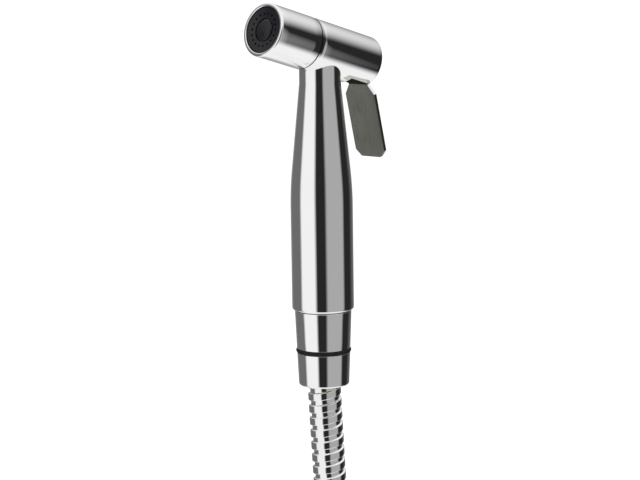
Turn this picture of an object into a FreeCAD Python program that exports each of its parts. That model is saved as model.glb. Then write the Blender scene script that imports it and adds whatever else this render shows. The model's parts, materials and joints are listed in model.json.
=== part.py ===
import FreeCAD, Part
import math
import os
import re

import Sketcher
from FreeCAD import Placement, Rotation, Vector

# A hand-held rinse sprayer: a round spray head across the top of a tapered handle, a thumb
# lever behind it that opens a valve in the head, and a steel hose held by a conical nut.
# The frame: +Z up the handle's axis, -Y the way the head sprays, the origin on the axis at
# the conical nut's rubber ring, where a wall holder grips it. Lengths are in millimetres.
#
# Head pieces are drawn along the head's axis, from its rear end at 0 to its mouth, with
# their own +Y upwards. Handle pieces are drawn up the handle from the conical nut's lower end.

SIZES = {
    # head
    "head_tilt": 15.1,
    "head_radius": 11.0,
    "head_length": 59.7,
    "cross_from_rear": 26.7,
    "cross_height": 125.8,
    "seam_from_rear": 36.2,
    "seam_gap": 0.35,
    "dip_length": 2.8,
    "dip_depth": 0.1,
    "seam_drop": 0.15,
    "rim_round": 0.8,
    "lip_round": 0.3,
    "end_round": 0.45,
    "spigot_radius": 9.85,
    "spigot_end": 51.4,
    "chamber_radius": 6.0,
    "chamber_start": 17.2,
    "chamber_end": 37.7,
    "front_bore_radius": 7.0,
    "gland_radius": 3.5,
    "rear_bore_radius": 5.4,
    "rear_cap_radius": 5.8,
    "rear_wall": 1.6,
    "slot_end": 11.3,
    "slot_width": 11.8,
    "slot_top": 2.0,
    "notch_top": 6.9,
    # spray face
    "face_radius": 9.5,
    "face_recess": 0.3,
    "lip_length": 2.5,
    "face_flange": 2.0,
    "jet_radius": 0.45,
    "jet_count": 18,
    "jet_circle": 6.6,
    "gasket_length": 1.8,
    "disc_length": 2.0,
    # valve
    "stem_radius": 1.5,
    "stem_rear": 4.7,
    "stem_front": 39.4,
    "collar_front": 7.1,
    "stem_collar_radius": 2.2,
    "poppet_radius": 4.8,
    "seat_radius": 3.0,
    "spring_radius": 3.0,
    "spring_wire": 0.35,
    "spring_turns": 7,
    # lever
    "pin_from_rear": 7.26,
    "pin_drop": 4.5,
    "pin_radius": 1.0,
    "eye_radius": 2.0,
    "bend_back": 23.24,
    "bend_drop": 15.74,
    "plate_flare": 13.7,
    "plate_length": 32.1,
    "plate_width": 16.4,
    "neck_width": 10.5,
    "shoulder": 4.5,
    "tip_cut": 2.9,
    "lever_thick": 1.5,
    "finger_width": 6.8,
    "fork_gap": 3.5,
    # handle
    "nut_length": 31.7,
    "ring_height": 14.8,
    "handle_bottom": 32.0,
    "handle_radius": 12.93,
    "neck_radius": 8.6,
    "taper_top": 126.0,
    "taper_bottom": 82.8,
    "taper_slope": 0.1,
    "taper_blend": 16.0,
    "shell_wall": 1.5,
    "tube_radius": 5.0,
    "tube_bore": 3.8,
    "nipple_bottom": 22.8,
    "nipple_radius": 10.3,
    "nut_top_radius": 11.85,
    "nut_low_radius": 10.6,
    "nut_bore": 8.4,
    "ring_wire": 0.9,
    "ring_radius": 10.7,
    "washer_length": 2.4,
    "ferrule_flange": 2.2,
    # hose
    "hose_radius": 7.0,
    "sleeve_length": 10.6,
    "sleeve_gap": 0.7,
    "floor_drop": 157.0,
    "coil_radius": 84.0,
    "supply_nut_radius": 12.0,
    "supply_nut_length": 15.0,
    "supply_thread": 10.4,
    "supply_thread_length": 9.0,
    "flute_count": 18,
}

doc = FreeCAD.newDocument("rinse_sprayer")
sheet = doc.addObject("Spreadsheet::Sheet", "Sizes")
for line, (name, value) in enumerate(SIZES.items(), start=1):
    sheet.set(f"A{line}", name)
    sheet.set(f"B{line}", str(value))
    sheet.setAlias(f"B{line}", name)
doc.recompute()

finished = []


def linked(text):
    """The formula with each driving dimension's name pointing at its cell."""
    return re.sub(r"[a-z_]+", lambda word: f"Sizes.{word[0]}" if word[0] in SIZES else word[0], str(text))


def number(text):
    """What a formula comes to, in millimetres or degrees."""
    return float(sheet.evalExpression(linked(text)))


def keep(piece, label):
    """Marks an object as a finished sub-part under its own name."""
    piece.Label = label
    finished.append(piece)
    return piece


# ---------------------------------------------------------------- places

TILT = math.radians(SIZES["head_tilt"])
FORWARD = Vector(0, -math.cos(TILT), math.sin(TILT))
CROSS = Vector(0, 0, SIZES["cross_height"])
HEAD_REAR = CROSS - FORWARD * SIZES["cross_from_rear"]
HEAD = Placement(HEAD_REAR, Rotation(Vector(1, 0, 0), 90 - SIZES["head_tilt"]))
HANDLE = Placement(Vector(0, 0, -SIZES["ring_height"]), Rotation())
ACROSS = Rotation(Vector(0, 1, 0), 90)


def in_head(x, up, along, turn=Rotation()):
    """A place in the head: across, up from its axis, and along it from the rear end."""
    return HEAD.multiply(Placement(Vector(x, up, along), turn))


# ---------------------------------------------------------------- ways of making

def attach(sketch, body, role):
    """Lays a sketch on one of its own body's origin planes."""
    plane = next(item for item in body.Origin.OriginFeatures if item.Role == role)
    sketch.AttachmentSupport = [(plane, "")]
    sketch.MapMode = "FlatFace"


def outline(body, name, role, corners):
    """A closed sketch through corners given as pairs of formulas."""
    sketch = body.newObject("Sketcher::SketchObject", name)
    attach(sketch, body, role)
    spots = [Vector(number(across), number(along), 0) for across, along in corners]
    for start, end in zip(spots, spots[1:] + spots[:1]):
        sketch.addGeometry(Part.LineSegment(start, end), False)
    for index, pair in enumerate(corners):
        before = (index - 1) % len(corners)
        sketch.addConstraint(Sketcher.Constraint("Coincident", before, 2, index, 1))
        for kind, axis, formula in zip(("DistanceX", "DistanceY"), (-2, -1), pair):
            value = number(formula)
            if abs(value) < 1e-9:
                sketch.addConstraint(Sketcher.Constraint("PointOnObject", index, 1, axis))
            else:
                held = sketch.addConstraint(Sketcher.Constraint(kind, -1, 1, index, 1, value))
                sketch.setExpression(f"Constraints[{held}]", linked(formula))
    return sketch


def turned(name, corners, placement):
    """A turned piece: corners are (radius, height) formulas of its half section."""
    body = doc.addObject("PartDesign::Body", name)
    sketch = outline(body, name + "_section", "XZ_Plane", corners)
    turn = body.newObject("PartDesign::Revolution", name + "_turn")
    turn.Profile = sketch
    turn.ReferenceAxis = (sketch, ["V_Axis"])
    turn.Angle = 360
    body.Placement = placement
    doc.recompute()
    return body


def rounded(body, radius, *circles):
    """Rounds the circular edges that lie at the given (radius, height) pairs of formulas."""
    wanted = [(number(size), number(height)) for size, height in circles]
    base = body.Tip
    edges = []
    for index, edge in enumerate(base.Shape.Edges, start=1):
        if not isinstance(edge.Curve, Part.Circle):
            continue
        found = (edge.Curve.Radius, edge.Curve.Center.z)
        if any(math.dist(found, spot) < 0.01 for spot in wanted):
            edges.append(f"Edge{index}")
    fillet = body.newObject("PartDesign::Fillet", body.Name + "_round")
    fillet.Base = (base, edges)
    fillet.setExpression("Radius", linked(radius))
    doc.recompute()
    return body


def drilled(body, name, radius, circle, count):
    """Holes along the piece's axis, evenly spaced on a circle and cut right through."""
    sketch = body.newObject("Sketcher::SketchObject", name + "_spot")
    attach(sketch, body, "XY_Plane")
    sketch.addGeometry(Part.Circle(Vector(number(circle), 0, 0), Vector(0, 0, 1), number(radius)), False)
    size = sketch.addConstraint(Sketcher.Constraint("Radius", 0, number(radius)))
    sketch.setExpression(f"Constraints[{size}]", linked(radius))
    sketch.addConstraint(Sketcher.Constraint("PointOnObject", 0, 3, -1))
    place = sketch.addConstraint(Sketcher.Constraint("DistanceX", -1, 1, 0, 3, number(circle)))
    sketch.setExpression(f"Constraints[{place}]", linked(circle))
    hole = body.newObject("PartDesign::Pocket", name)
    hole.Profile = sketch
    hole.Type = "ThroughAll"
    hole.Midplane = True
    around = body.newObject("PartDesign::PolarPattern", name + "_ring")
    around.Originals = [hole]
    around.Axis = (sketch, ["N_Axis"])
    around.Angle = 360
    around.setExpression("Occurrences", linked(count))
    body.Tip = around
    doc.recompute()
    return body


def cylinder(name, radius, height, placement):
    """A round bar or the bore it leaves, standing on its placement."""
    bar = doc.addObject("Part::Cylinder", name)
    bar.setExpression("Radius", linked(radius))
    bar.setExpression("Height", linked(height))
    bar.Placement = placement
    return bar


def block(name, length, width, height, placement):
    """A box centred across X on its placement, reaching up Y and Z from it."""
    solid = doc.addObject("Part::Box", name)
    solid.setExpression("Length", linked(length))
    solid.setExpression("Width", linked(width))
    solid.setExpression("Height", linked(height))
    solid.Placement = placement.multiply(Placement(Vector(-number(length) / 2, 0, 0), Rotation()))
    return solid


def joined(name, *pieces):
    """Several solids made one."""
    whole = doc.addObject("Part::MultiFuse", name)
    whole.Shapes = list(pieces)
    whole.Refine = True
    return whole


def cut(name, base, *tools):
    """A solid less one or more others."""
    for index, tool in enumerate(tools):
        rest = doc.addObject("Part::Cut", f"{name}_{index}")
        rest.Base = base
        rest.Tool = tool
        base = rest
    return base


# ---------------------------------------------------------------- head

def make_front_cap():
    """The mouth: a thin sleeve that screws over the barrel's spigot, with a lip round the face."""
    bore = "spigot_radius + 0.1"
    body = turned("cap_blank", [
        ("head_radius", "seam_from_rear + seam_gap"),
        ("head_radius", "head_length"),
        ("face_radius", "head_length"),
        ("face_radius", "head_length - lip_length"),
        (bore, "head_length - lip_length"),
        (bore, "seam_from_rear + seam_gap"),
    ], HEAD)
    rounded(body, "rim_round", ("head_radius", "head_length"))
    rounded(body, "lip_round", ("face_radius", "head_length"))
    return keep(rounded(body, "0.15", ("head_radius", "seam_from_rear + seam_gap")), "front_cap")


def make_spray_face():
    """The black face plate: a ring of jets round a groove and a low domed middle."""
    back = "head_length - lip_length - face_flange"
    front = "head_length - face_recess"
    body = turned("face_blank", [
        ("0", back),
        ("spigot_radius", back),
        ("spigot_radius", "head_length - lip_length - 0.05"),
        ("face_radius - 0.1", "head_length - lip_length - 0.05"),
        ("face_radius - 0.1", front + " - 0.4"),
        ("face_radius - 0.5", front),
        ("4.9", front + " - 0.5"),
        ("4.9", front + " - 1.1"),
        ("4.3", front + " - 1.1"),
        ("4.3", front + " - 0.5"),
        ("3.9", front + " - 0.2"),
        ("2.0", front),
        ("0", front + " + 0.1"),
    ], HEAD)
    return keep(drilled(body, "jets", "jet_radius", "jet_circle", "jet_count"), "spray_face")


def make_face_gasket():
    """The rubber ring pressed between the flow disc and the face plate."""
    front = "head_length - lip_length - face_flange"
    body = turned("gasket_section", [
        ("7.6", front + " - gasket_length"),
        ("spigot_radius - 0.15", front + " - gasket_length"),
        ("spigot_radius - 0.15", front),
        ("7.6", front),
    ], HEAD)
    return keep(body, "face_gasket")


def make_flow_disc():
    """The perforated disc that spreads the water behind the face plate."""
    body = turned("disc_blank", [
        ("0", "spigot_end"),
        ("spigot_radius", "spigot_end"),
        ("spigot_radius", "spigot_end + disc_length"),
        ("0", "spigot_end + disc_length"),
    ], HEAD)
    return keep(drilled(body, "ports", "0.8", "4.5", "8"), "flow_disc")


def make_head_barrel():
    """The head's body: a turned bar with the valve's bores, the lever's slot and the inlet hole."""
    blank = turned("barrel_blank", [
        ("head_radius", "0"),
        ("head_radius", "seam_from_rear - dip_length"),
        ("head_radius - dip_depth", "seam_from_rear - dip_length / 2"),
        ("head_radius - 0.03", "seam_from_rear - 0.15"),
        ("head_radius - seam_drop", "seam_from_rear"),
        ("spigot_radius", "seam_from_rear"),
        ("spigot_radius", "spigot_end"),
        ("front_bore_radius", "spigot_end"),
        ("front_bore_radius", "chamber_end"),
        ("chamber_radius", "chamber_end"),
        ("chamber_radius", "chamber_start"),
        ("gland_radius", "chamber_start"),
        ("gland_radius", "slot_end"),
        ("rear_bore_radius", "slot_end"),
        ("rear_bore_radius", "rear_wall"),
        ("rear_cap_radius", "rear_wall"),
        ("rear_cap_radius", "0"),
    ], HEAD)
    rounded(blank, "end_round", ("head_radius", "0"))
    slot = block("lever_slot", "slot_width", "head_radius", "slot_end - rear_wall",
                 in_head(0, -number("slot_top + head_radius"), number("rear_wall")))
    notch = block("lever_notch", "slot_width", "head_radius", "rear_wall + 2",
                  in_head(0, -number("notch_top + head_radius"), -1))
    inlet = cylinder("inlet_hole", "tube_bore", "head_radius + 2",
                     Placement(CROSS - Vector(0, 0, number("head_radius + 2")), Rotation()))
    socket = cylinder("inlet_socket", "tube_radius + 0.03", "head_radius",
                      Placement(CROSS - Vector(0, 0, number("head_radius + 8.2")), Rotation()))
    pin_hole = cylinder("pin_hole", "pin_radius + 0.01", "head_radius + 7.5",
                        in_head(-number("head_radius"), -number("pin_drop"), number("pin_from_rear"), ACROSS))
    return keep(cut("barrel_cut", blank, slot, notch, inlet, socket, pin_hole), "head_barrel")


def make_rear_cap():
    """The plug that closes the head's rear end, with a coin slot across it."""
    disc = turned("rear_cap_blank", [
        ("0", "0"),
        ("rear_cap_radius - 0.05", "0"),
        ("rear_cap_radius - 0.05", "rear_wall"),
        ("0", "rear_wall"),
    ], HEAD)
    rounded(disc, "0.25", ("rear_cap_radius - 0.05", "0"))
    coin = block("coin_slot", "7", "1.1", "1", in_head(0, -0.55, -0.4))
    return keep(cut("rear_cap_cut", disc, coin), "rear_cap")


# ---------------------------------------------------------------- valve

def make_valve_stem():
    """The rod that the lever pulls back, from its collar to the poppet."""
    body = turned("stem_bar", [
        ("0", "stem_rear"),
        ("stem_radius", "stem_rear"),
        ("stem_radius", "stem_front"),
        ("0", "stem_front"),
    ], HEAD)
    ends = ("stem_radius", "stem_rear"), ("stem_radius", "stem_front")
    return keep(rounded(body, "0.3", *ends), "valve_stem")


def make_ring(name, inner, outer, low, high):
    """A flat ring in the head."""
    corners = [(inner, low), (outer, low), (outer, high), (inner, high)]
    return keep(turned(name + "_section", corners, HEAD), name)


def make_poppet_nut():
    """The hexagonal nut that holds the poppet's washer on the stem."""
    body = doc.addObject("PartDesign::Body", "poppet_nut_body")
    spots = [("{:.6f} * 2.3".format(math.cos(math.radians(60 * step))),
              "{:.6f} * 2.3".format(math.sin(math.radians(60 * step)))) for step in range(6)]
    sketch = outline(body, "hexagon", "XY_Plane", spots)
    pad = body.newObject("PartDesign::Pad", "hexagon_pad")
    pad.Profile = sketch
    pad.Length = 1.7
    body.Placement = in_head(0, 0, 37.2)
    bore = cylinder("poppet_nut_bore", "stem_radius", "4", in_head(0, 0, 36))
    return keep(cut("poppet_nut_cut", body, bore), "poppet_nut")


def make_valve_seat():
    """The screwed ring that the poppet closes on, with a raised lip and a groove for its seal."""
    body = turned("seat_section", [
        ("seat_radius", "chamber_end - 0.45"),
        ("seat_radius + 0.6", "chamber_end - 0.45"),
        ("seat_radius + 0.9", "chamber_end"),
        ("front_bore_radius - 0.03", "chamber_end"),
        ("front_bore_radius - 0.03", "chamber_end + 1.0"),
        ("front_bore_radius - 1.4", "chamber_end + 1.0"),
        ("front_bore_radius - 1.4", "chamber_end + 2.6"),
        ("front_bore_radius - 0.03", "chamber_end + 2.6"),
        ("front_bore_radius - 0.03", "chamber_end + 3.6"),
        ("seat_radius", "chamber_end + 3.6"),
    ], HEAD)
    return keep(body, "valve_seat")


def up_handle(height):
    """The place on the handle's axis a given height above the conical nut's lower end."""
    return Placement(Vector(0, 0, number(height) - SIZES["ring_height"]), Rotation())


def make_seal(name, ring, wire, placement):
    """A rubber ring of round section."""
    seal = doc.addObject("Part::Torus", name + "_torus")
    seal.setExpression("Radius1", linked(ring))
    seal.setExpression("Radius2", linked(wire))
    seal.Placement = placement
    return keep(seal, name)


def make_stem_guide():
    """The screwed bush that the stem slides in, with a chamber for its seal."""
    body = turned("guide_section", [
        ("stem_radius + 0.05", "slot_end + 0.2"),
        ("gland_radius - 0.03", "slot_end + 0.2"),
        ("gland_radius - 0.03", "chamber_start"),
        ("4.6", "chamber_start"),
        ("4.6", "chamber_start + 0.9"),
        ("stem_radius + 0.05", "chamber_start + 0.9"),
        ("stem_radius + 0.05", "15.2"),
        ("2.95", "15.2"),
        ("2.95", "13.7"),
        ("stem_radius + 0.05", "13.7"),
    ], HEAD)
    return keep(body, "stem_guide")


def make_valve_spring():
    """The coil spring that pushes the poppet shut, round the stem."""
    low = "chamber_start + 0.9 + spring_wire + 0.05"
    height = f"33.4 - spring_wire - 0.05 - ({low})"
    spring = doc.addObject("PartDesign::Body", "spring_body")
    wire = spring.newObject("Sketcher::SketchObject", "spring_wire_section")
    attach(wire, spring, "XZ_Plane")
    middle = Vector(number("spring_radius"), 0, 0)
    wire.addGeometry(Part.Circle(middle, Vector(0, 0, 1), number("spring_wire")), False)
    wire.addConstraint(Sketcher.Constraint("PointOnObject", 0, 3, -1))
    for kind, formula in (("Radius", "spring_wire"), ("DistanceX", "spring_radius")):
        ends = (0, number(formula)) if kind == "Radius" else (-1, 1, 0, 3, number(formula))
        held = wire.addConstraint(Sketcher.Constraint(kind, *ends))
        wire.setExpression(f"Constraints[{held}]", linked(formula))
    coil = spring.newObject("PartDesign::AdditiveHelix", "spring_coil")
    coil.Profile = wire
    coil.ReferenceAxis = (wire, ["V_Axis"])
    coil.Mode = "pitch-height-angle"
    coil.setExpression("Height", linked(height))
    coil.setExpression("Pitch", linked(f"({height}) / spring_turns"))
    spring.Placement = in_head(0, 0, number(low))
    return keep(spring, "valve_spring")


# ---------------------------------------------------------------- lever

PIN = in_head(0, -SIZES["pin_drop"], SIZES["pin_from_rear"]).Base
BEND = CROSS + Vector(0, SIZES["bend_back"], -SIZES["bend_drop"])


def make_lever():
    """The thumb lever: a flared plate, a short arm up into the slot, an eye and a forked finger."""
    half_plate = "plate_width / 2"
    half_neck = "neck_width / 2"
    plate = doc.addObject("PartDesign::Body", "lever_plate")
    face = outline(plate, "plate_face", "XZ_Plane", [
        (half_neck, "0"),
        (half_neck, "-0.2"),
        (half_plate, "-shoulder"),
        (half_plate, "tip_cut - plate_length"),
        (half_plate + " - tip_cut", "-plate_length"),
        ("tip_cut - " + half_plate, "-plate_length"),
        ("-" + half_plate, "tip_cut - plate_length"),
        ("-" + half_plate, "-shoulder"),
        ("-" + half_neck, "-0.2"),
        ("-" + half_neck, "0"),
    ])
    pad = plate.newObject("PartDesign::Pad", "plate_pad")
    pad.Profile = face
    pad.setExpression("Length", linked("lever_thick"))
    pad.Midplane = True
    plate.Placement = Placement(BEND, Rotation(Vector(1, 0, 0), SIZES["plate_flare"]))
    reach = PIN - BEND
    along_arm = Rotation(Vector(1, 0, 0), math.degrees(math.atan2(reach.z, reach.y)))
    half_thick = Placement(Vector(0, 0, -SIZES["lever_thick"] / 2), Rotation())
    arm = block("lever_arm", "neck_width", str(reach.Length), "lever_thick",
                Placement(BEND, along_arm).multiply(half_thick))
    to_side = Vector(number(half_neck), 0, 0)
    knuckle = cylinder("lever_knuckle", "lever_thick / 2", "neck_width", Placement(BEND - to_side, ACROSS))
    eye = cylinder("lever_eye", "eye_radius", "neck_width", Placement(PIN - to_side, ACROSS))
    finger = block("lever_finger", "finger_width", "pin_drop + 2.6", "1.7",
                   in_head(0, -SIZES["pin_drop"], SIZES["pin_from_rear"]))
    bore = cylinder("lever_bore", "pin_radius + 0.05", "neck_width * 2", Placement(PIN - to_side * 2, ACROSS))
    fork = block("lever_fork", "fork_gap", "pin_drop + 2.6", "4",
                 in_head(0, -2.3, SIZES["pin_from_rear"] - 1))
    whole = joined("lever_whole", plate, arm, knuckle, eye, finger)
    return keep(cut("lever_cut", whole, bore, fork), "lever")


def make_lever_pin():
    """The pin across the slot, pressed in from one side and ending blind in the other wall."""
    length = "head_radius - 2.7 + 7.4"
    pin = cylinder("pin_bar", "pin_radius", length, Placement(PIN - Vector(8.3, 0, 0), ACROSS))
    return keep(pin, "lever_pin")


# ---------------------------------------------------------------- handle and nut

def make_handle_shell():
    """The tapered tube of the handle, its top cut to sit round the head's barrel."""
    top = "taper_top + 9"
    blend = [(f"handle_radius - ({step} * taper_blend / 4)^2 / (2 * taper_blend) * taper_slope",
              f"taper_bottom + ({step} - 2) * taper_blend / 4") for step in range(5)]
    body = turned("shell_blank", [
        ("handle_radius - shell_wall", "handle_bottom"),
        ("handle_radius", "handle_bottom"),
        *blend,
        ("neck_radius", "taper_top"),
        ("neck_radius", top),
        ("neck_radius - shell_wall", top),
        ("neck_radius - shell_wall", "taper_top"),
        ("handle_radius - shell_wall", "taper_bottom"),
    ], HANDLE)
    rounded(body, "1.2", ("handle_radius", "handle_bottom"))
    saddle = cylinder("shell_saddle", "head_radius + 0.02", "head_length", HEAD)
    return keep(cut("shell_cut", body, saddle), "handle_shell")


def make_inlet_tube():
    """The water tube inside the handle, from the nipple up to the head."""
    low = "nipple_bottom + 14.3"
    high = "cross_height + ring_height - 8.3"
    body = turned("tube_section", [
        ("tube_bore", low),
        ("tube_radius", low),
        ("tube_radius", high),
        ("tube_bore", high),
    ], HANDLE)
    return keep(body, "inlet_tube")


def make_inlet_nipple():
    """The threaded nipple that closes the handle and takes the water tube and the hose's nut."""
    top = "nipple_bottom + 22"
    body = turned("nipple_section", [
        ("tube_bore", "nipple_bottom"),
        ("nipple_radius", "nipple_bottom"),
        ("nipple_radius", "handle_bottom"),
        ("handle_radius - shell_wall - 0.05", "handle_bottom + 0.2"),
        ("handle_radius - shell_wall - 0.05", top),
        ("tube_radius + 0.03", top),
        ("tube_radius + 0.03", "nipple_bottom + 19"),
        ("tube_radius + 1.2", "nipple_bottom + 19"),
        ("tube_radius + 1.2", "nipple_bottom + 17.4"),
        ("tube_radius + 0.03", "nipple_bottom + 17.4"),
        ("tube_radius + 0.03", "nipple_bottom + 14.2"),
        ("tube_bore", "nipple_bottom + 14.2"),
    ], HANDLE)
    return keep(body, "inlet_nipple")


def make_conical_nut():
    """The smooth tapered nut that clamps the hose to the nipple, with a groove for its ring."""
    def side(height):
        return f"nut_low_radius + (nut_top_radius - nut_low_radius) * ({height}) / nut_length"

    low_groove = "ring_height - 0.95"
    high_groove = "ring_height + 0.95"
    shoulder = "nipple_bottom - washer_length - ferrule_flange"
    body = turned("nut_section", [
        ("nut_bore", "0"),
        (side("0"), "0"),
        (side(low_groove), low_groove),
        ("ring_radius - 0.95", low_groove),
        ("ring_radius - 0.95", high_groove),
        (side(high_groove), high_groove),
        (side("nut_length"), "nut_length"),
        ("nipple_radius + 0.1", "nut_length"),
        ("nipple_radius + 0.1", shoulder),
        ("nut_bore", shoulder),
    ], HANDLE)
    rounded(body, "1.0", (side("0"), "0"))
    return keep(rounded(body, "0.3", (side("nut_length"), "nut_length")), "conical_nut")


def make_hose_washer():
    """The rubber washer between the nipple and the hose's ferrule."""
    low = "nipple_bottom - washer_length"
    high = "nipple_bottom"
    body = turned("washer_section", [("5", low), ("9.9", low), ("9.9", high), ("5", high)], HANDLE)
    return keep(body, "hose_washer")


def make_ferrule(name, flange_start, placement):
    """A hose end's brass ferrule: a flange that the nut pulls on, and the stub in the hose."""
    body = turned(name + "_section", [
        ("3.2", "0.4"),
        ("4.5", "0.4"),
        ("4.5", flange_start),
        ("9.6", flange_start),
        ("9.6", flange_start + " + ferrule_flange"),
        ("3.2", flange_start + " + ferrule_flange"),
    ], placement)
    return keep(body, name)


def make_sleeve(name, placement):
    """The steel sleeve crimped over a hose end."""
    body = turned(name + "_section", [
        ("5.0", "sleeve_gap"),
        ("7.5", "sleeve_gap"),
        ("7.5", "sleeve_length - 0.2"),
        ("5.0", "sleeve_length - 0.2"),
    ], placement)
    return keep(body, name)


# ---------------------------------------------------------------- hose

FLOOR = -SIZES["floor_drop"]
LOW_TURN = FLOOR + SIZES["hose_radius"]
HIGH_TURN = LOW_TURN + 2 * SIZES["hose_radius"]
COIL_CENTRE = Vector(SIZES["coil_radius"], 80, FLOOR)
SUPPLY_AXIS = FLOOR + SIZES["supply_nut_radius"]

DROP_ROUTE = [
    Vector(0, -0.5, -7.6),
    Vector(0, 1.8, -46),
    Vector(0, 4.5, -83),
    Vector(0, 25.5, -117),
    Vector(0, 60, HIGH_TURN),
    Vector(2.7, 101, HIGH_TURN),
]
TAIL_ROUTE = [
    Vector(84, -4, LOW_TURN),
    Vector(62, -4, LOW_TURN),
    Vector(38, -4, SUPPLY_AXIS),
    Vector(20, -4, SUPPLY_AXIS),
]
SUPPLY_END = Placement(TAIL_ROUTE[-1], Rotation(Vector(0, 1, 0), -90))


def hose_path(name, route):
    """Straight runs joined by tangent arcs, each as large as its two runs allow."""
    edges = []
    start = route[0]
    for before, corner, after in zip(route, route[1:], route[2:]):
        back = before - corner
        ahead = after - corner
        reach = 0.45 * min(back.Length, ahead.Length)
        back.normalize()
        ahead.normalize()
        half_turn = (math.pi - back.getAngle(ahead)) / 2
        radius = reach / math.tan(half_turn)
        print(f"{name}: bend radius {radius:.1f} mm, turn {math.degrees(2 * half_turn):.0f} degrees")
        inward = back + ahead
        inward.normalize()
        middle = corner + inward * (radius / math.cos(half_turn) - radius)
        edges.append(Part.LineSegment(start, corner + back * reach).toShape())
        edges.append(Part.Arc(corner + back * reach, middle, corner + ahead * reach).toShape())
        start = corner + ahead * reach
    edges.append(Part.LineSegment(start, route[-1]).toShape())
    return Part.Wire(edges)


def make_hose(name, route):
    """A free stretch of the hose, round and plain, along its route."""
    path = hose_path(name, route)
    heading = route[1] - route[0]
    ring = Part.Wire([Part.Circle(route[0], heading, SIZES["hose_radius"]).toShape()])
    solid = path.makePipeShell([ring], True, False)
    expected = math.pi * SIZES["hose_radius"] ** 2 * path.Length
    print(f"{name}: {path.Length:.1f} mm, volume {solid.Volume / expected:.4f} of section times length")
    tube = doc.addObject("Part::Feature", name)
    tube.Shape = solid
    return keep(tube, name)


def make_hose_coil():
    """The outer shape of the put-away turns: a ring two hose diameters high."""
    inner = "coil_radius - hose_radius"
    outer = "coil_radius + hose_radius"
    body = turned("coil_section", [
        (inner, "0"),
        (outer, "0"),
        (outer, "hose_radius * 4"),
        (inner, "hose_radius * 4"),
    ], Placement(COIL_CENTRE, Rotation()))
    corners = [(side, height) for side in (inner, outer) for height in ("0", "hose_radius * 4")]
    return keep(rounded(body, "hose_radius - 0.1", *corners), "hose_coil")


def make_supply_nut():
    """The fluted nut that swivels on the hose's far end and screws on to the supply."""
    start = "sleeve_length - supply_nut_length + 10.4"
    shoulder = "sleeve_length - 0.2"
    thread = "sleeve_length + ferrule_flange + washer_length + 0.2"
    mouth = thread + " + supply_thread_length"
    body = turned("supply_nut_section", [
        ("8.1", start),
        ("supply_nut_radius", start),
        ("supply_nut_radius", mouth),
        ("supply_thread", mouth),
        ("supply_thread", thread),
        ("10.0", thread),
        ("10.0", shoulder),
        ("8.1", shoulder),
    ], SUPPLY_END)
    rounded(body, "0.6", ("supply_nut_radius", start), ("supply_nut_radius", mouth))
    return keep(drilled(body, "flutes", "0.9", "supply_nut_radius + 0.5", "flute_count"), "supply_nut")


def make_supply_washer():
    """The rubber washer in the swivel nut."""
    low = "sleeve_length + ferrule_flange"
    high = low + " + washer_length"
    body = turned("supply_washer_section", [("5", low), ("9.6", low), ("9.6", high), ("5", high)], SUPPLY_END)
    return keep(body, "supply_washer")


# ---------------------------------------------------------------- the sprayer

make_front_cap()
make_spray_face()
make_face_gasket()
make_flow_disc()
make_head_barrel()
make_rear_cap()
make_valve_stem()
make_ring("stem_collar", "stem_radius", "stem_collar_radius", "collar_front - 1.9", "collar_front")
make_ring("poppet", "stem_radius", "poppet_radius", "33.4", "35.4")
make_ring("poppet_washer", "stem_radius", "poppet_radius - 0.3", "35.4", "37.2")
make_poppet_nut()
make_valve_seat()
make_seal("seat_seal", "front_bore_radius - 0.71", "0.66", in_head(0, 0, SIZES["chamber_end"] + 1.8))
make_stem_guide()
make_seal("stem_seal", "2.25", "0.68", in_head(0, 0, 14.45))
make_valve_spring()
make_lever()
make_lever_pin()
make_handle_shell()
make_inlet_tube()
make_seal("tube_seal", "5.61", "0.58", up_handle("nipple_bottom + 18.2"))
make_inlet_nipple()
make_conical_nut()
make_seal("nut_ring", "ring_radius", "ring_wire", Placement())
make_hose_washer()
TOP_END = Placement(Vector(0, 0, DROP_ROUTE[0].z), Rotation())
make_ferrule("hose_ferrule", "nipple_bottom - washer_length - ferrule_flange - ring_height + 7.6", TOP_END)
make_sleeve("hose_sleeve", TOP_END)
make_hose("hose_drop", DROP_ROUTE)
make_hose_coil()
make_hose("hose_tail", TAIL_ROUTE)
make_sleeve("supply_sleeve", SUPPLY_END)
make_ferrule("supply_ferrule", "sleeve_length", SUPPLY_END)
make_supply_nut()
make_supply_washer()

doc.recompute()
for item in doc.Objects:
    if "Invalid" in item.State or "Error" in item.State:
        raise RuntimeError(f"{item.Label} did not recompute: {item.State}")
for piece in finished:
    if piece.Shape.isNull() or not piece.Shape.isValid():
        raise RuntimeError(f"{piece.Label} has no valid shape")

os.makedirs("parts", exist_ok=True)
for piece in finished:
    print(f"{piece.Label}: {len(piece.Shape.Solids)} solid, {piece.Shape.Volume:.0f} cubic mm")
    piece.Shape.exportStep(f"parts/{piece.Label}.step")
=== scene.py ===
import json
import math

import bmesh
import bpy
from mathutils import Matrix, Vector


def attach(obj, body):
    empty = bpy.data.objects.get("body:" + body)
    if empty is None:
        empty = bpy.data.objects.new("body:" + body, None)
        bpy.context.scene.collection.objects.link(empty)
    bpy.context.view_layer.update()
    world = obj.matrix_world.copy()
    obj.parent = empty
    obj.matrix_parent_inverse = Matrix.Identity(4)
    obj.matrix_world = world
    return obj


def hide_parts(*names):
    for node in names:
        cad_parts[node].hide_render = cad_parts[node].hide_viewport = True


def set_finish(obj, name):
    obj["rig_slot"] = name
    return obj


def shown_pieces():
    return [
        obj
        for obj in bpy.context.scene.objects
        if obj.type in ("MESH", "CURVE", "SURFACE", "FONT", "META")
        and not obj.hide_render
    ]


# A hand-held rinse sprayer of polished metal, its conical nut and its wound steel hose. The scene
# is in metres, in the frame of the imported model, with part sizes in millimetres: +Z up the
# handle, -Y the way the head sprays, the origin on the handle's axis at the nut's rubber ring.

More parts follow.
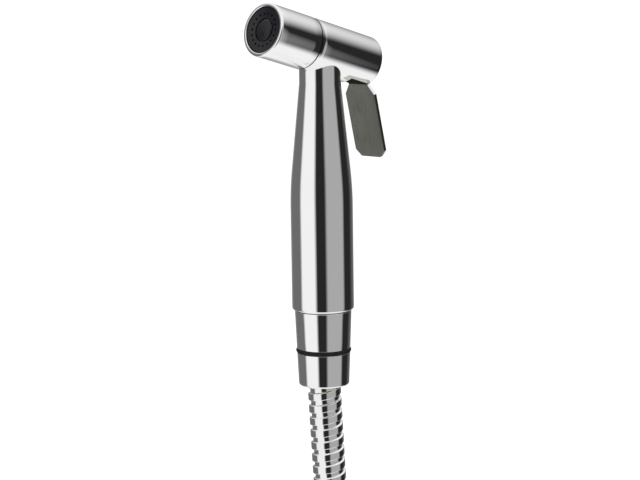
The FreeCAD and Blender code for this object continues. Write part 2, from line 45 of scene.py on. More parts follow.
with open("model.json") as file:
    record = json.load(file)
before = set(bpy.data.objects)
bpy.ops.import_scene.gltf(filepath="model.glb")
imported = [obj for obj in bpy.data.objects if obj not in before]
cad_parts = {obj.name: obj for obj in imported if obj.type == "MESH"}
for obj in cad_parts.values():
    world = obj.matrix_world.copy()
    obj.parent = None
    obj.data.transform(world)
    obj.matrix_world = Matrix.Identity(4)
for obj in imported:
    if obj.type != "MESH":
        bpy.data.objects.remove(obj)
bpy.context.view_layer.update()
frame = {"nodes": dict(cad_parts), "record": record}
nodes = frame["nodes"]
MM = 0.001
SAME_PLACE = 1e-6

# ---------------------------------------------------------------- camera

AIM = Vector((0, 0, 70.8)) * MM
CAMERA_AZIMUTH = math.radians(44.80)
CAMERA_ELEVATION = math.radians(6.68)
CAMERA_DISTANCE = 0.750
CAMERA_PAN = math.radians(0.07)
CAMERA_TILT = math.radians(-1.85)
CAMERA_ROLL = math.radians(-0.81)
LENS_MM = 101.9


def make_camera():
    """A long lens at the side of the mouth, a little above it, as a product is pictured."""
    back = Vector((math.sin(CAMERA_AZIMUTH) * math.cos(CAMERA_ELEVATION),
                   -math.cos(CAMERA_AZIMUTH) * math.cos(CAMERA_ELEVATION),
                   math.sin(CAMERA_ELEVATION)))
    right = Vector((math.cos(CAMERA_AZIMUTH), math.sin(CAMERA_AZIMUTH), 0))
    facing = Matrix((right, back.cross(right), back)).transposed()
    aim = Matrix.Rotation(CAMERA_PAN, 3, "Y") @ Matrix.Rotation(CAMERA_TILT, 3, "X")
    turned = facing @ aim @ Matrix.Rotation(CAMERA_ROLL, 3, "Z")
    data = bpy.data.cameras.new("camera")
    data.lens = LENS_MM
    data.sensor_width = 36
    data.clip_start = 0.01
    data.clip_end = 200
    camera = bpy.data.objects.new("camera", data)
    camera.matrix_world = Matrix.Translation(AIM + back * CAMERA_DISTANCE) @ turned.to_4x4()
    bpy.context.scene.collection.objects.link(camera)
    bpy.context.scene.camera = camera


make_camera()

# ---------------------------------------------------------------- small helpers


def rework(mesh, change):
    """Edits a mesh in place through a function of its editable copy."""
    work = bmesh.new()
    work.from_mesh(mesh)
    change(work)
    work.to_mesh(mesh)
    work.free()


def clean(work):
    """Merges points that coincide and drops faces without area."""
    bmesh.ops.remove_doubles(work, verts=work.verts, dist=SAME_PLACE)
    bmesh.ops.dissolve_degenerate(work, edges=work.edges, dist=SAME_PLACE)


def show(name, mesh):
    """A new object in the scene."""
    piece = bpy.data.objects.new(name, mesh)
    bpy.context.scene.collection.objects.link(piece)
    return piece


def add_mesh(name, verts, faces, body):
    """A new smooth piece from its points and faces, riding on a body."""
    mesh = bpy.data.meshes.new(name)
    mesh.from_pydata([tuple(v) for v in verts], [], faces)
    mesh.validate()
    mesh.update()
    rework(mesh, clean)
    mesh.shade_smooth()
    piece = show(name, mesh)
    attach(piece, body)
    return piece


# ---------------------------------------------------------------- hose

HOSE_PITCH = 5.35
COIL_RADIUS = 84.0
COIL_CENTRE = (84.0, 80.0)
LOW_TURN = -150.0
HIGH_TURN = -136.0
DROP_ROUTE = [(0, -0.5, -7.6), (0, 1.8, -46), (0, 4.5, -83), (0, 25.5, -117), (0, 60, HIGH_TURN)]
TAIL_ROUTE = [(62, -4, LOW_TURN), (38, -4, -145), (20, -4, -145)]
TURN_POINTS = 16
TURNS = 1.75
CLIMB_FROM = 0.74
CLIMB_TO = 0.97


def coil_points():
    """The put-away turns, clockwise from the west, one flat turn stepping down on to another."""
    step = 360 / TURN_POINTS
    bulge = 1 / math.cos(math.radians(step / 2))
    points = []
    for index in range(1, round(TURNS * TURN_POINTS)):
        turn = index / TURN_POINTS
        angle = math.radians(180 - index * step)
        ease = min(max((turn - CLIMB_FROM) / (CLIMB_TO - CLIMB_FROM), 0), 1)
        height = HIGH_TURN + (LOW_TURN - HIGH_TURN) * ease * ease * (3 - 2 * ease)
        radius = COIL_RADIUS * (1 + (bulge - 1) * 0.75)
        points.append((COIL_CENTRE[0] + radius * math.cos(angle),
                       COIL_CENTRE[1] + radius * math.sin(angle), height))
    return points


def hose_line():
    """The hose's own line, read from one smooth spline through its route."""
    route = DROP_ROUTE + coil_points() + TAIL_ROUTE
    curve = bpy.data.curves.new("hose_route", "CURVE")
    curve.dimensions = "3D"
    spline = curve.splines.new("NURBS")
    spline.points.add(len(route) - 1)
    for point, place in zip(spline.points, route):
        point.co = (*(Vector(place) * MM), 1)
    spline.order_u = 3
    spline.use_endpoint_u = True
    spline.resolution_u = 24
    holder = show("hose_route", curve)
    line = bpy.data.meshes.new_from_object(holder)
    points = [v.co.copy() for v in line.vertices]
    bpy.data.objects.remove(holder)
    return points


def travelling_frames(points):
    """For each point of a line: how far along it is, and two directions across it that don't spin."""
    tangents = [(b - a).normalized() for a, b in zip(points, points[1:])]
    tangents.append(tangents[-1])
    across = tangents[0].orthogonal().normalized()
    frames = []
    far = 0.0
    for index, (point, tangent) in enumerate(zip(points, tangents)):
        if index:
            far += (point - points[index - 1]).length
            turn = tangents[index - 1].rotation_difference(tangent)
            across = (turn @ across).normalized()
        frames.append((far, point, across, tangent.cross(across)))
    return frames


class Line:
    """A sampled line that can be asked for a spot at any distance along it."""

    def __init__(self, points):
        self.frames = travelling_frames(points)
        self.length = self.frames[-1][0]
        self.at = 0

    def spot(self, far, angle, radius):
        far = min(max(far, 0.0), self.length)
        while self.at < len(self.frames) - 2 and self.frames[self.at + 1][0] < far:
            self.at += 1
        while self.at > 0 and self.frames[self.at][0] > far:
            self.at -= 1
        low, high = self.frames[self.at], self.frames[self.at + 1]
        mix = (far - low[0]) / max(high[0] - low[0], 1e-9)
        centre, side, other = (low[k].lerp(high[k], mix) for k in (1, 2, 3))
        return centre + (side * math.cos(angle) + other * math.sin(angle)) * radius


# One pitch of the wound strip: how far along it, and the radius there, in millimetres.
STRIP_PROFILE = [(0.00, 6.10), (0.03, 6.70), (0.10, 6.90), (0.24, 7.00), (0.40, 7.00), (2.85, 7.00),
                 (3.00, 6.99), (3.15, 6.88), (3.20, 6.70), (3.22, 6.10), (3.30, 6.02), (3.45, 6.00),
                 (5.15, 6.00), (5.28, 6.03)]
STEPS_ROUND = 40


def make_hose(points):
    """The double-wound steel strip: a wide band and a narrow one stepped in, round and round."""
    line = Line(points)
    turns = int(line.length / (HOSE_PITCH * MM)) + 2
    rings = turns * STEPS_ROUND
    across = len(STRIP_PROFILE)
    verts = []
    for ring in range(-STEPS_ROUND, rings):
        angle = 2 * math.pi * ring / STEPS_ROUND
        for offset, radius in STRIP_PROFILE:
            verts.append(line.spot((ring / STEPS_ROUND * HOSE_PITCH + offset) * MM, angle, radius * MM))
    faces = []
    for ring in range(rings + STEPS_ROUND - 1):
        for column in range(across):
            first = ring * across + column
            second = first + 1 if column < across - 1 else (ring + STEPS_ROUND) * across
            if second + across < len(verts):
                faces.append((first, second, second + across, first + across))
    return add_mesh("hose", verts, faces, "sprayer")


hose_points = hose_line()
hose = make_hose(hose_points)
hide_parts("hose_drop", "hose_coil", "hose_tail")
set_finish(hose, "hose_steel")
# The hose is left out of mirror reflections.
hose.visible_glossy = False

# ---------------------------------------------------------------- turned and edged pieces

HANDLE = Matrix.Identity(4)
FORWARD = Vector((0, -0.965473, 0.260505))
HEAD_UP = Vector((0, 0.260505, 0.965473))
HEAD_REAR = Vector((0, 25.779, 118.844))
HEAD_TURN = Matrix((Vector((1, 0, 0)), HEAD_UP, FORWARD)).transposed()
HEAD = Matrix.Translation(HEAD_REAR * MM) @ HEAD_TURN.to_4x4()
HEAD_RADIUS = 11.0
SEAM = 36.2
SEAM_GAP = 0.35
RIM_ROUND = 0.8
LIP_RADIUS = 9.5
LIP_ROUND = 0.3
LIP_LENGTH = 2.5
CAP_BORE = 9.95
# The dip before the seam: how far behind the seam, and how deep.
DIP = [(2.5, 0.015), (2.1, 0.05), (1.75, 0.08), (1.4, 0.1), (1.05, 0.085), (0.7, 0.055), (0.4, 0.035),
       (0.15, 0.03)]
END_ROUND = 0.45
SPIGOT = 9.85
SPIGOT_END = 51.4
FRONT_BORE = 7.0
CHAMBER = 6.0
CHAMBER_START = 17.2
CHAMBER_END = 37.7
GLAND = 3.5
SLOT_HALF = 5.9
SLOT_END = 11.3
NOTCH_TOP = -6.9
REAR_WALL = 1.6
CAP_RADIUS = 5.85
SLOT_TOP = CAP_RADIUS * math.sin(math.radians(-20))
BREAK = 0.15
ROUND_STEPS = 224
SLOT_STEPS = 32
HEAD_LENGTH = 59.7
LEVER_BEND = 110.7


def arc(centre, radius, start, end, steps=8):
    """Points of a small round in a turned section, by its centre (across, along) and its angles."""
    return [(centre[0] + radius * math.cos(math.radians(start + (end - start) * k / steps)),
             centre[1] + radius * math.sin(math.radians(start + (end - start) * k / steps)))
            for k in range(steps + 1)]


def split_long(section, longest=4.0):
    """The section with its long straight sides broken up, so that shading stays even."""
    points = [section[0]]
    for after in section[1:]:
        before = points[-1]
        parts = max(1, math.ceil(math.dist(before, after) / longest))
        points += [(before[0] + (after[0] - before[0]) * k / parts,
                    before[1] + (after[1] - before[1]) * k / parts) for k in range(1, parts + 1)]
    return points


def lathe(name, section, place, body, segments=256):
    """A turned piece from its section of (radius, height) points in millimetres."""
    section = split_long(section)
    verts = []
    for radius, height in section:
        for step in range(segments):
            angle = 2 * math.pi * step / segments
            verts.append(place @ (Vector((radius * math.cos(angle), radius * math.sin(angle), height)) * MM))
    faces = []
    for row in range(len(section)):
        for step in range(segments):
            after = (step + 1) % segments
            first, second = row * segments, (row + 1) % len(section) * segments
            faces.append((first + step, first + after, second + after, second + step))
    piece = add_mesh(name, verts, faces, body)
    piece.data.set_sharp_from_angle(angle=math.radians(35))
    return piece


def edged(node, body, width, angle=28, segments=2):
    """A CAD node's shape with its hard edges broken by a small bevel, as machined metal has."""
    def join_flats(work):
        bmesh.ops.remove_doubles(work, verts=work.verts, dist=2 * SAME_PLACE)
        bmesh.ops.dissolve_limit(work, angle_limit=math.radians(0.6), verts=work.verts, edges=work.edges)

    mesh = nodes[node].data.copy()
    mesh.name = node + "_fine"
    rework(mesh, join_flats)
    if "custom_normal" in mesh.attributes:
        mesh.attributes.remove(mesh.attributes["custom_normal"])
    mesh.shade_smooth()
    rough = show(node + "_rough", mesh)
    bevel = rough.modifiers.new("edge", "BEVEL")
    bevel.width = width * MM
    bevel.segments = segments
    bevel.limit_method = "ANGLE"
    bevel.angle_limit = math.radians(angle)
    bevel.harden_normals = True
    now = bpy.context.evaluated_depsgraph_get()
    finished = bpy.data.meshes.new_from_object(rough.evaluated_get(now))
    bpy.data.objects.remove(rough)
    piece = show(node + "_fine", finished)
    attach(piece, body)
    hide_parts(node)
    return piece


HANDLE_RADIUS = 12.93
NECK_RADIUS = 8.6
TAPER_FROM = 60.0
TAPER_BLEND = 16.0
TAPER_TO = 111.2
TAPER = 0.1
WALL = 1.2
FOOT = 17.2
FOOT_ROUND = 1.2
FOOT_BORE = 11.45
NECK_TOP = 121.0


def handle_side(height):
    """The handle's radius: straight, then easing into its taper, then the neck."""
    into = min(max(height - TAPER_FROM, 0), TAPER_BLEND)
    straight = max(height - TAPER_FROM - TAPER_BLEND, 0)
    return max(HANDLE_RADIUS - into * into / (2 * TAPER_BLEND) * TAPER - straight * TAPER, NECK_RADIUS)


def make_handle():
    """The handle's shell: a rounded foot, the taper, the neck that enters the head, and its inside."""
    section = [(FOOT_BORE, 21.0), (FOOT_BORE, FOOT),
               *arc((HANDLE_RADIUS - FOOT_ROUND, FOOT + FOOT_ROUND), FOOT_ROUND, -90, 0, 12)]
    section += [(handle_side(z), z) for z in range(20, 112)]
    section += [(NECK_RADIUS, TAPER_TO), (NECK_RADIUS, NECK_TOP), (NECK_RADIUS - WALL, NECK_TOP)]
    section += [(handle_side(z) - WALL, z) for z in range(112, 24, -4)]
    return lathe("handle", section, HANDLE, "sprayer")


NUT_LOW = -14.8
NUT_HEIGHT = 31.7
NUT_FOOT_RADIUS = 10.6
NUT_TOP_RADIUS = 11.85
NUT_BORE = 8.4
GROOVE_LOW = 13.85
GROOVE_HIGH = 15.75
GROOVE_RADIUS = 9.75
GROOVE_ROUND = 0.12


def nut_side(height):
    """The nut's radius at a height above its lower end."""
    return NUT_FOOT_RADIUS + (NUT_TOP_RADIUS - NUT_FOOT_RADIUS) * height / NUT_HEIGHT


def make_nut():
    """The tapered nut: rounded foot, a groove for the ring, and a crisp top edge."""
    section = [(NUT_BORE, 18.0), (NUT_BORE, 0.3), *arc((NUT_BORE + 0.3, 0.3), 0.3, 180, 270, 4)]
    section += arc((nut_side(0) - 1.0, 1.0), 1.0, -90, 2, 12)
    section += [(nut_side(GROOVE_LOW - 0.1), GROOVE_LOW - 0.1)]
    section += arc((nut_side(GROOVE_LOW) - GROOVE_ROUND, GROOVE_LOW - GROOVE_ROUND), GROOVE_ROUND, 0, 90, 4)
    section += [(GROOVE_RADIUS, GROOVE_LOW), (GROOVE_RADIUS, GROOVE_HIGH)]
    section += arc((nut_side(GROOVE_HIGH) - GROOVE_ROUND, GROOVE_HIGH + GROOVE_ROUND), GROOVE_ROUND,
                   -90, 0, 4)
    section += arc((nut_side(NUT_HEIGHT) - 0.3, NUT_HEIGHT - 0.3), 0.3, 0, 90, 6)
    section += [(10.4, NUT_HEIGHT), (10.4, 22.0)]
    return lathe("nut", [(radius, NUT_LOW + height) for radius, height in section], HANDLE, "sprayer")


def make_cap():
    """The mouth's sleeve, with its rounded rim and the thin lip round the face."""
    back = SEAM + SEAM_GAP
    section = [(CAP_BORE, back), (HEAD_RADIUS - BREAK, back),
               *arc((HEAD_RADIUS - BREAK, back + BREAK), BREAK, -90, 0, 4)]
    section += arc((HEAD_RADIUS - RIM_ROUND, HEAD_LENGTH - RIM_ROUND), RIM_ROUND, 0, 90, 10)
    section += arc((LIP_RADIUS + LIP_ROUND, HEAD_LENGTH - LIP_ROUND), LIP_ROUND, 90, 180, 8)
    section += [(LIP_RADIUS, HEAD_LENGTH - LIP_LENGTH), (CAP_BORE, HEAD_LENGTH - LIP_LENGTH)]
    return lathe("mouth_cap", section, HEAD, "sprayer")


def around_head(place):
    """How far a place is along the head, and its offset from the head's axis."""
    out = place - HEAD_REAR
    along = out.dot(FORWARD)
    return along, out - FORWARD * along


def barrel_section():
    """The barrel's outside from its rear face to its spigot's end, then back along its bores."""
    section = arc((HEAD_RADIUS - END_ROUND, END_ROUND), END_ROUND, -90, 0, 8)
    section += [(HEAD_RADIUS, along) for along in (REAR_WALL, 5, 8, SLOT_END, 15, 20, 25, 30, SEAM - 2.9)]
    section += [(HEAD_RADIUS - depth, SEAM - back) for back, depth in DIP]
    section += [(HEAD_RADIUS - BREAK, SEAM), (SPIGOT, SEAM), (SPIGOT, SPIGOT_END), (FRONT_BORE, SPIGOT_END)]
    return section + [(FRONT_BORE, CHAMBER_END), (CHAMBER, CHAMBER_END), (CHAMBER, CHAMBER_START),
                      (GLAND, CHAMBER_START), (GLAND, SLOT_END)]


def make_barrel():
    """The turned barrel with its slot milled up from below and out through the rear wall."""
    edge = SLOT_HALF + BREAK
    section = barrel_section()
    verts, faces, rings = [], [], []
    for index, (radius, along) in enumerate(section):
        slotted = along <= SLOT_END and index < len(section) - 1
        half = math.asin(edge / (radius if slotted else HEAD_RADIUS))
        span = 2 * (math.pi - half)
        angles = [half - math.pi / 2 + span * k / ROUND_STEPS for k in range(ROUND_STEPS)]
        angles += [-math.pi / 2 - half + 2 * half * k / SLOT_STEPS for k in range(SLOT_STEPS)]
        rings.append([(radius * math.cos(a), radius * math.sin(a), along) for a in angles])
        verts += rings[-1]
    count = ROUND_STEPS + SLOT_STEPS
    for row, (_, front) in enumerate(section[1:]):
        open_below = front <= SLOT_END and row < len(section) - 2
        for step in range(ROUND_STEPS if open_below else count):
            after = (step + 1) % count
            faces.append((row * count + step, row * count + after,
                          (row + 1) * count + after, (row + 1) * count + step))

    def both_sides(*corners):
        for side in (corners, [(-x, y, along) for x, y, along in reversed(corners)]):
            faces.append(tuple(range(len(verts), len(verts) + len(side))))
            verts.extend(side)

    def circle(start, end, along):
        angles = [math.radians(a / 2) for a in range(2 * start, 2 * end + 1, 5)]
        return [(CAP_RADIUS * math.cos(angle), CAP_RADIUS * math.sin(angle), along) for angle in angles]

    def strip(first, second):
        for k in range(len(first) - 1):
            both_sides(first[k], first[k + 1], second[k + 1], second[k])

    def broken(radius):
        return -math.sqrt(radius ** 2 - edge ** 2) + BREAK

    last = next(k for k, (_, along) in enumerate(section) if along == SLOT_END)
    for (r0, a0), (r1, a1) in zip(section[:last], section[1:last + 1]):
        low = [(edge, broken(r0) - BREAK, a0), (SLOT_HALF, broken(r0), a0), (SLOT_HALF, NOTCH_TOP, a0)]
        high = [(edge, broken(r1) - BREAK, a1), (SLOT_HALF, broken(r1), a1), (SLOT_HALF, NOTCH_TOP, a1)]
        if a1 <= REAR_WALL:
            strip([*low, (0, NOTCH_TOP, a0)], [*high, (0, NOTCH_TOP, a1)])
        else:
            strip([*low, (SLOT_HALF, SLOT_TOP, a0), *circle(-20, 90, a0)],
                  [*high, (SLOT_HALF, SLOT_TOP, a1), *circle(-20, 90, a1)])
    strip(circle(-90, 90, 0), circle(-90, 90, REAR_WALL))
    both_sides((SLOT_HALF, NOTCH_TOP, REAR_WALL), (SLOT_HALF, SLOT_TOP, REAR_WALL),
               *reversed(circle(-90, -20, REAR_WALL)), (0, NOTCH_TOP, REAR_WALL))
    top, bottom = ROUND_STEPS // 2, ROUND_STEPS + SLOT_STEPS // 2
    both_sides(*rings[0][:top + 1], *reversed(circle(-90, 90, 0)), (0, NOTCH_TOP, 0),
               (SLOT_HALF, NOTCH_TOP, 0), (SLOT_HALF, broken(section[0][0]), 0))
    gland = [*rings[-1][bottom:], *rings[-1][:top + 1]]
    both_sides(*rings[last][bottom:], rings[last][0], (SLOT_HALF, broken(HEAD_RADIUS), SLOT_END),
               (SLOT_HALF, NOTCH_TOP, SLOT_END), (SLOT_HALF, SLOT_TOP, SLOT_END), *circle(-20, 90, SLOT_END),
               *reversed(gland))
    piece = add_mesh("barrel", [HEAD @ (Vector(v) * MM) for v in verts], faces, "sprayer")
    rework(piece.data, lambda work: bmesh.ops.recalc_face_normals(work, faces=work.faces))
    piece.data.set_sharp_from_angle(angle=math.radians(30))
    return piece


handle = make_handle()
nut = make_nut()
mouth_cap = make_cap()
barrel = make_barrel()
for piece, node in ((handle, "handle_shell"), (nut, "conical_nut"), (mouth_cap, "front_cap"),
                    (barrel, "head_barrel")):
    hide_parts(node)
    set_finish(piece, "chrome")
cap_screw = edged("rear_cap", "sprayer", 0.15)
plate = edged("lever", "lever", 0.22, segments=3)
far_nut = edged("supply_nut", "supply_nut", 0.12)
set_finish(cap_screw, "chrome")
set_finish(plate, "lever_steel")
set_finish(far_nut, "chrome")

# ---------------------------------------------------------------- materials


def new_material(name):
    """A material with its node tree, and its shader."""
    material = bpy.data.materials.new(name)
    material.use_nodes = True
    return material, material.node_tree, material.node_tree.nodes["Principled BSDF"]


def put(tree, kind, **settings):
    """A node with its properties and inputs set."""
    node = tree.nodes.new(kind)
    for key, value in settings.items():
        if key in node.inputs:
            node.inputs[key].default_value = value
        else:
            setattr(node, key, value)
    return node


def object_place(tree, stretch=(1, 1, 1)):
    """Object coordinates in metres, stretched for a grain that runs one way."""
    place = put(tree, "ShaderNodeTexCoord")
    mapping = put(tree, "ShaderNodeMapping")
    mapping.inputs["Scale"].default_value = stretch
    tree.links.new(place.outputs["Object"], mapping.inputs["Vector"])
    return mapping.outputs["Vector"]


def noise(tree, place, scale, detail=4.0, rough=0.55):
    """A noise whose scale is in cells for each metre."""
    texture = put(tree, "ShaderNodeTexNoise", Scale=scale, Detail=detail, Roughness=rough)
    tree.links.new(place, texture.inputs["Vector"])
    return texture.outputs["Fac"]


def between(tree, value, low, high, start=0.3, end=0.7):
    """A value mapped smoothly from start..end on to low..high."""
    mapped = put(tree, "ShaderNodeMapRange", interpolation_type="SMOOTHSTEP")
    for socket, number in (("From Min", start), ("From Max", end), ("To Min", low), ("To Max", high)):
        mapped.inputs[socket].default_value = number
    tree.links.new(value, mapped.inputs["Value"])
    return mapped.outputs["Result"]


def shade(tree, value, dark, light):
    """A colour that runs from dark to light with a value."""
    mix = put(tree, "ShaderNodeMix", data_type="RGBA")
    mix.inputs["A"].default_value = (*dark, 1)
    mix.inputs["B"].default_value = (*light, 1)
    tree.links.new(value, mix.inputs["Factor"])
    return mix.outputs["Result"]


def bump(tree, shader, height, distance):
    """Adds relief to a shader; distance is its full height in metres."""
    relief = put(tree, "ShaderNodeBump", Strength=1.0, Distance=distance)
    tree.links.new(height, relief.inputs["Height"])
    tree.links.new(relief.outputs["Normal"], shader.inputs["Normal"])


def polished(name, dark, light, smooth=0.015, smudged=0.05, ripple=2e-7, fineness=320):
    """Bright plated metal: faint smudges in its gloss, and a plating that isn't quite flat."""
    material, tree, shader = new_material(name)
    place = object_place(tree)
    shader.inputs["Metallic"].default_value = 1.0
    tree.links.new(shade(tree, noise(tree, place, 60), dark, light), shader.inputs["Base Color"])
    smudges = between(tree, noise(tree, place, 110, 6, 0.6), smooth, smudged, 0.45, 0.75)
    tree.links.new(smudges, shader.inputs["Roughness"])
    bump(tree, shader, noise(tree, place, fineness, 2), ripple)
    return material


def lever_finish():
    """Polished stainless plate with the faint grain of its rolling along its length."""
    material, tree, shader = new_material("lever_steel")
    shader.inputs["Metallic"].default_value = 1.0
    grain = noise(tree, object_place(tree, (9000, 900, 120)), 1, 3)
    cloud = noise(tree, object_place(tree), 90, 5)
    tree.links.new(shade(tree, between(tree, cloud, 0, 1), (0.485, 0.495, 0.430), (0.595, 0.585, 0.515)),
                   shader.inputs["Base Color"])
    tree.links.new(between(tree, grain, 0.16, 0.26), shader.inputs["Roughness"])
    bump(tree, shader, grain, 1e-6)
    return material


def moulded(name, dark, light, gloss, rough, grain=900, relief=4e-6, bright=0.5):
    """Moulded plastic or rubber, with its fine surface and slightly uneven gloss."""
    material, tree, shader = new_material(name)
    place = object_place(tree)
    shader.inputs["Specular IOR Level"].default_value = bright
    tree.links.new(shade(tree, noise(tree, place, 140), dark, light), shader.inputs["Base Color"])
    tree.links.new(between(tree, noise(tree, place, 400, 3), gloss, rough), shader.inputs["Roughness"])
    bump(tree, shader, noise(tree, place, grain, 3), relief)
    return material


def turned_metal(name, dark, light, low=0.18, high=0.34):
    """Turned metal inside the sprayer, with fine tool marks."""
    material, tree, shader = new_material(name)
    shader.inputs["Metallic"].default_value = 1.0
    place = object_place(tree)
    tree.links.new(shade(tree, noise(tree, place, 180), dark, light), shader.inputs["Base Color"])
    marks = noise(tree, object_place(tree, (300, 5000, 300)), 1, 2)
    tree.links.new(between(tree, marks, low, high), shader.inputs["Roughness"])
    bump(tree, shader, marks, 3e-6)
    return material


FINISHES = {
    "chrome": polished("chrome", (0.955, 0.955, 0.96), (0.985, 0.985, 0.985)),
    "lever_steel": lever_finish(),
    "edge_steel": polished("edge_steel", (0.88, 0.88, 0.88), (0.94, 0.94, 0.94), 0.04, 0.09),
    "broken_edge": polished("broken_edge", (0.80, 0.80, 0.80), (0.88, 0.88, 0.88), 0.34, 0.46),
    "hose_steel": polished("hose_steel", (0.93, 0.93, 0.94), (0.97, 0.97, 0.97), 0.02, 0.05, 3e-6, 1300),
    "face_plastic": moulded("face_plastic", (0.004, 0.004, 0.005), (0.009, 0.008, 0.013), 0.16, 0.3,
                            bright=0.38),
    "disc_plastic": moulded("disc_plastic", (0.60, 0.59, 0.56), (0.72, 0.71, 0.68), 0.4, 0.5),
    "rubber": moulded("rubber", (0.002, 0.002, 0.0025), (0.006, 0.006, 0.007), 0.4, 0.6, 1600, 8e-6, 0.25),
    # bore_steel is dark unplated bore metal; where it goes on the mouth's sleeve at the seam, it is painted
    # shade.
    "bore_steel": turned_metal("bore_steel", (0.035, 0.034, 0.033), (0.07, 0.068, 0.066), 0.45, 0.65),
    # shadow_steel is a near-black steel used as painted shade inside the barrel's slot, in the seam and
    # under the lever's arm.
    "shadow_steel": turned_metal("shadow_steel", (0.003, 0.003, 0.003), (0.010, 0.010, 0.010), 0.4, 0.6),
    "brass": turned_metal("brass", (0.66, 0.46, 0.20), (0.80, 0.60, 0.30)),
    "inner_steel": turned_metal("inner_steel", (0.52, 0.52, 0.51), (0.68, 0.68, 0.67)),
}


def paint(piece, material):
    """Gives a piece one material."""
    piece.data.materials.clear()
    piece.data.materials.append(material)


slot_of = {entry["node"]: entry["material_slot"] for entry in frame["record"]["subparts"]}
for node, piece in nodes.items():
    piece.data.shade_smooth()
    piece.data.set_sharp_from_angle(angle=math.radians(35))
    paint(piece, FINISHES[slot_of[node]])
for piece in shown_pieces():
    if "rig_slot" in piece:
        paint(piece, FINISHES[piece["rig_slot"]])


def refinish(piece, name, chosen):
    """Gives the chosen faces of a piece another finish."""
    piece.data.materials.append(FINISHES[name])
    index = len(piece.data.materials) - 1
    for polygon in piece.data.polygons:
        if chosen(polygon.center / MM, polygon.normal):
            polygon.material_index = index


def in_slot_or_seam(place, _):
    """Whether a face of the barrel is inside its slot or looks into the seam."""
    along, across = around_head(place)
    return along > SEAM - 0.1 or (0.1 < along < SEAM - 3 and across.length < HEAD_RADIUS - 0.25)


def at_seam(place, _):
    """Whether a face of the mouth's sleeve looks into the seam."""
    along, across = around_head(place)
    return along < SEAM + 0.42 and across.length < HEAD_RADIUS - 0.05


# Painted shade: the barrel's faces inside its slot and facing the seam go near-black.
refinish(barrel, "shadow_steel", in_slot_or_seam)
# Painted shade: the mouth's sleeve goes dark where it looks into the seam gap.
refinish(mouth_cap, "bore_steel", at_seam)
# Painted shade: the lever's arm goes near-black on its underside and front, above the bend.
refinish(plate, "shadow_steel", lambda place, normal: place.z > LEVER_BEND and normal.y < 0.2)
refinish(plate, "edge_steel", lambda _, normal: abs(normal.x) > 0.3)
refinish(plate, "broken_edge", lambda _, normal: abs(normal.x) > 0.2 and abs(normal.y) > 0.3)

# ---------------------------------------------------------------- studio

# The walls that polished metal sees, as linear greys by the angle round from the camera to its
# right: a white wall, a dark gap round the camera, a pale wall, a black card, grey behind.
WHITE = 0.9
PALE = 0.4
GREY = 0.15
DARK = 0.02
# Where the white floor and the white ceiling meet the walls, in degrees above the horizon.
FLOOR_FADE = (-50, -30)
CEILING_FADE = (10, 40)
ROOM_LIGHT = 1.12
WALLS = [(-180, PALE), (-140, GREY), (-90, GREY), (-80, WHITE), (-30, WHITE), (-20, DARK), (10, DARK),
         (20, PALE), (80, PALE), (90, DARK), (120, DARK), (150, GREY), (180, PALE)]
CAMERA_SIDE = math.radians(45.2)


def calculate(tree, operation, *values):
    """A Math node; each value is a socket or a number."""
    node = put(tree, "ShaderNodeMath", operation=operation)
    for index, value in enumerate(values):
        if isinstance(value, (int, float)):
            node.inputs[index].default_value = value
        else:
            tree.links.new(value, node.inputs[index])
    return node.outputs["Value"]


def walls(tree, share):
    """The greys of the walls; share runs once round, from 0 behind the object to 1."""
    node = put(tree, "ShaderNodeValToRGB")
    elements = node.color_ramp.elements
    for element, (angle, grey) in zip(elements, (WALLS[0], WALLS[-1])):
        element.position = (angle + 180) / 360
        element.color = (grey, grey, grey, 1)
    for angle, grey in WALLS[1:-1]:
        element = elements.new((angle + 180) / 360)
        element.color = (grey, grey, grey, 1)
    tree.links.new(share, node.inputs["Fac"])
    return node.outputs["Color"]


def crossfade(tree, below, above, height, start, end):
    """One colour giving way to another between two heights, in degrees above the horizon."""
    mapped = put(tree, "ShaderNodeMapRange", interpolation_type="SMOOTHSTEP")
    mapped.inputs["From Min"].default_value = start
    mapped.inputs["From Max"].default_value = end
    tree.links.new(height, mapped.inputs["Value"])
    mix = put(tree, "ShaderNodeMix", data_type="RGBA")
    tree.links.new(mapped.outputs["Result"], mix.inputs["Factor"])
    for value, name in ((below, "A"), (above, "B")):
        if isinstance(value, tuple):
            mix.inputs[name].default_value = value
        else:
            tree.links.new(value, mix.inputs[name])
    return mix.outputs["Result"]


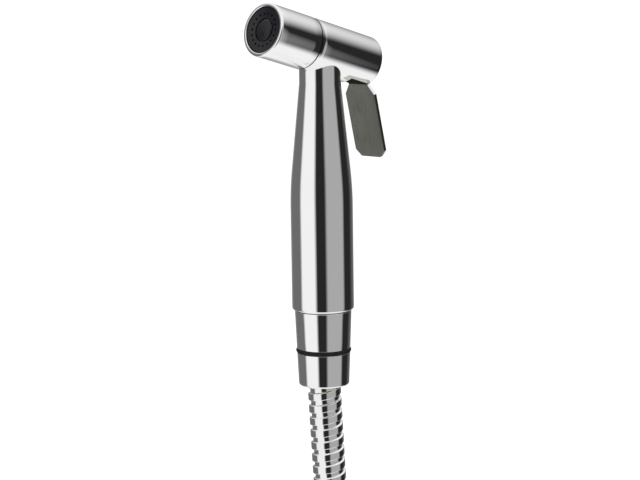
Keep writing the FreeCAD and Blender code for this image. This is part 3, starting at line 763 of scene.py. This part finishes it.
def make_studio():
    """A white room with soft light; polished metal sees its walls, white floor and white ceiling."""
    world = bpy.data.worlds.new("studio")
    bpy.context.scene.world = world
    world.use_nodes = True
    tree = world.node_tree
    tree.nodes.clear()
    place = put(tree, "ShaderNodeTexCoord")
    parts = put(tree, "ShaderNodeSeparateXYZ")
    tree.links.new(place.outputs["Generated"], parts.inputs["Vector"])
    angle = calculate(tree, "ARCTAN2", parts.outputs["Y"], parts.outputs["X"])
    turned = calculate(tree, "ADD", angle, CAMERA_SIDE)
    rounds = calculate(tree, "DIVIDE", turned, 2 * math.pi)
    share = calculate(tree, "FRACT", calculate(tree, "ADD", rounds, 0.5))
    height = calculate(tree, "MULTIPLY", calculate(tree, "ARCSINE", parts.outputs["Z"]), 180 / math.pi)
    white = (WHITE, WHITE, WHITE, 1)
    low = crossfade(tree, white, walls(tree, share), height, *FLOOR_FADE)
    seen = crossfade(tree, low, white, height, *CEILING_FADE)
    mirrored = put(tree, "ShaderNodeBackground")
    tree.links.new(seen, mirrored.inputs["Color"])
    plain = put(tree, "ShaderNodeBackground", Color=(1, 1, 1, 1), Strength=ROOM_LIGHT)
    rays = put(tree, "ShaderNodeLightPath")
    choice = put(tree, "ShaderNodeMixShader")
    output = put(tree, "ShaderNodeOutputWorld")
    tree.links.new(rays.outputs["Is Glossy Ray"], choice.inputs["Fac"])
    tree.links.new(plain.outputs["Background"], choice.inputs[1])
    tree.links.new(mirrored.outputs["Background"], choice.inputs[2])
    tree.links.new(choice.outputs["Shader"], output.inputs["Surface"])


def make_floor():
    """A plain white sweep under the object."""
    size = 3.0
    drop = -0.1572
    mesh = bpy.data.meshes.new("floor")
    corners = [(-size, -size, drop), (size, -size, drop), (size, size, drop), (-size, size, drop)]
    mesh.from_pydata(corners, [], [(0, 1, 2, 3)])
    floor = show("floor", mesh)
    floor.visible_glossy = False
    material, tree, shader = new_material("floor_white")
    cloud = noise(tree, object_place(tree), 3, 2)
    tree.links.new(shade(tree, cloud, (0.93, 0.93, 0.93), (0.95, 0.95, 0.95)), shader.inputs["Base Color"])
    shader.inputs["Roughness"].default_value = 0.9
    shader.inputs["Specular IOR Level"].default_value = 0.1
    paint(floor, material)


def make_light(name, place, size, power):
    """A round soft lamp that polished metal doesn't see."""
    data = bpy.data.lights.new(name, "AREA")
    data.shape = "DISK"
    data.size = size
    data.energy = power
    light = show(name, data)
    light.location = place
    light.rotation_euler = (AIM - Vector(place)).to_track_quat("-Z", "Y").to_euler()
    light.visible_glossy = False


make_studio()
make_floor()
make_light("key", (-0.9, -0.9, 1.6), 1.2, 9)
make_light("fill", (1.4, -0.2, 1.1), 1.2, 4)
bpy.context.scene.view_settings.view_transform = "Standard"
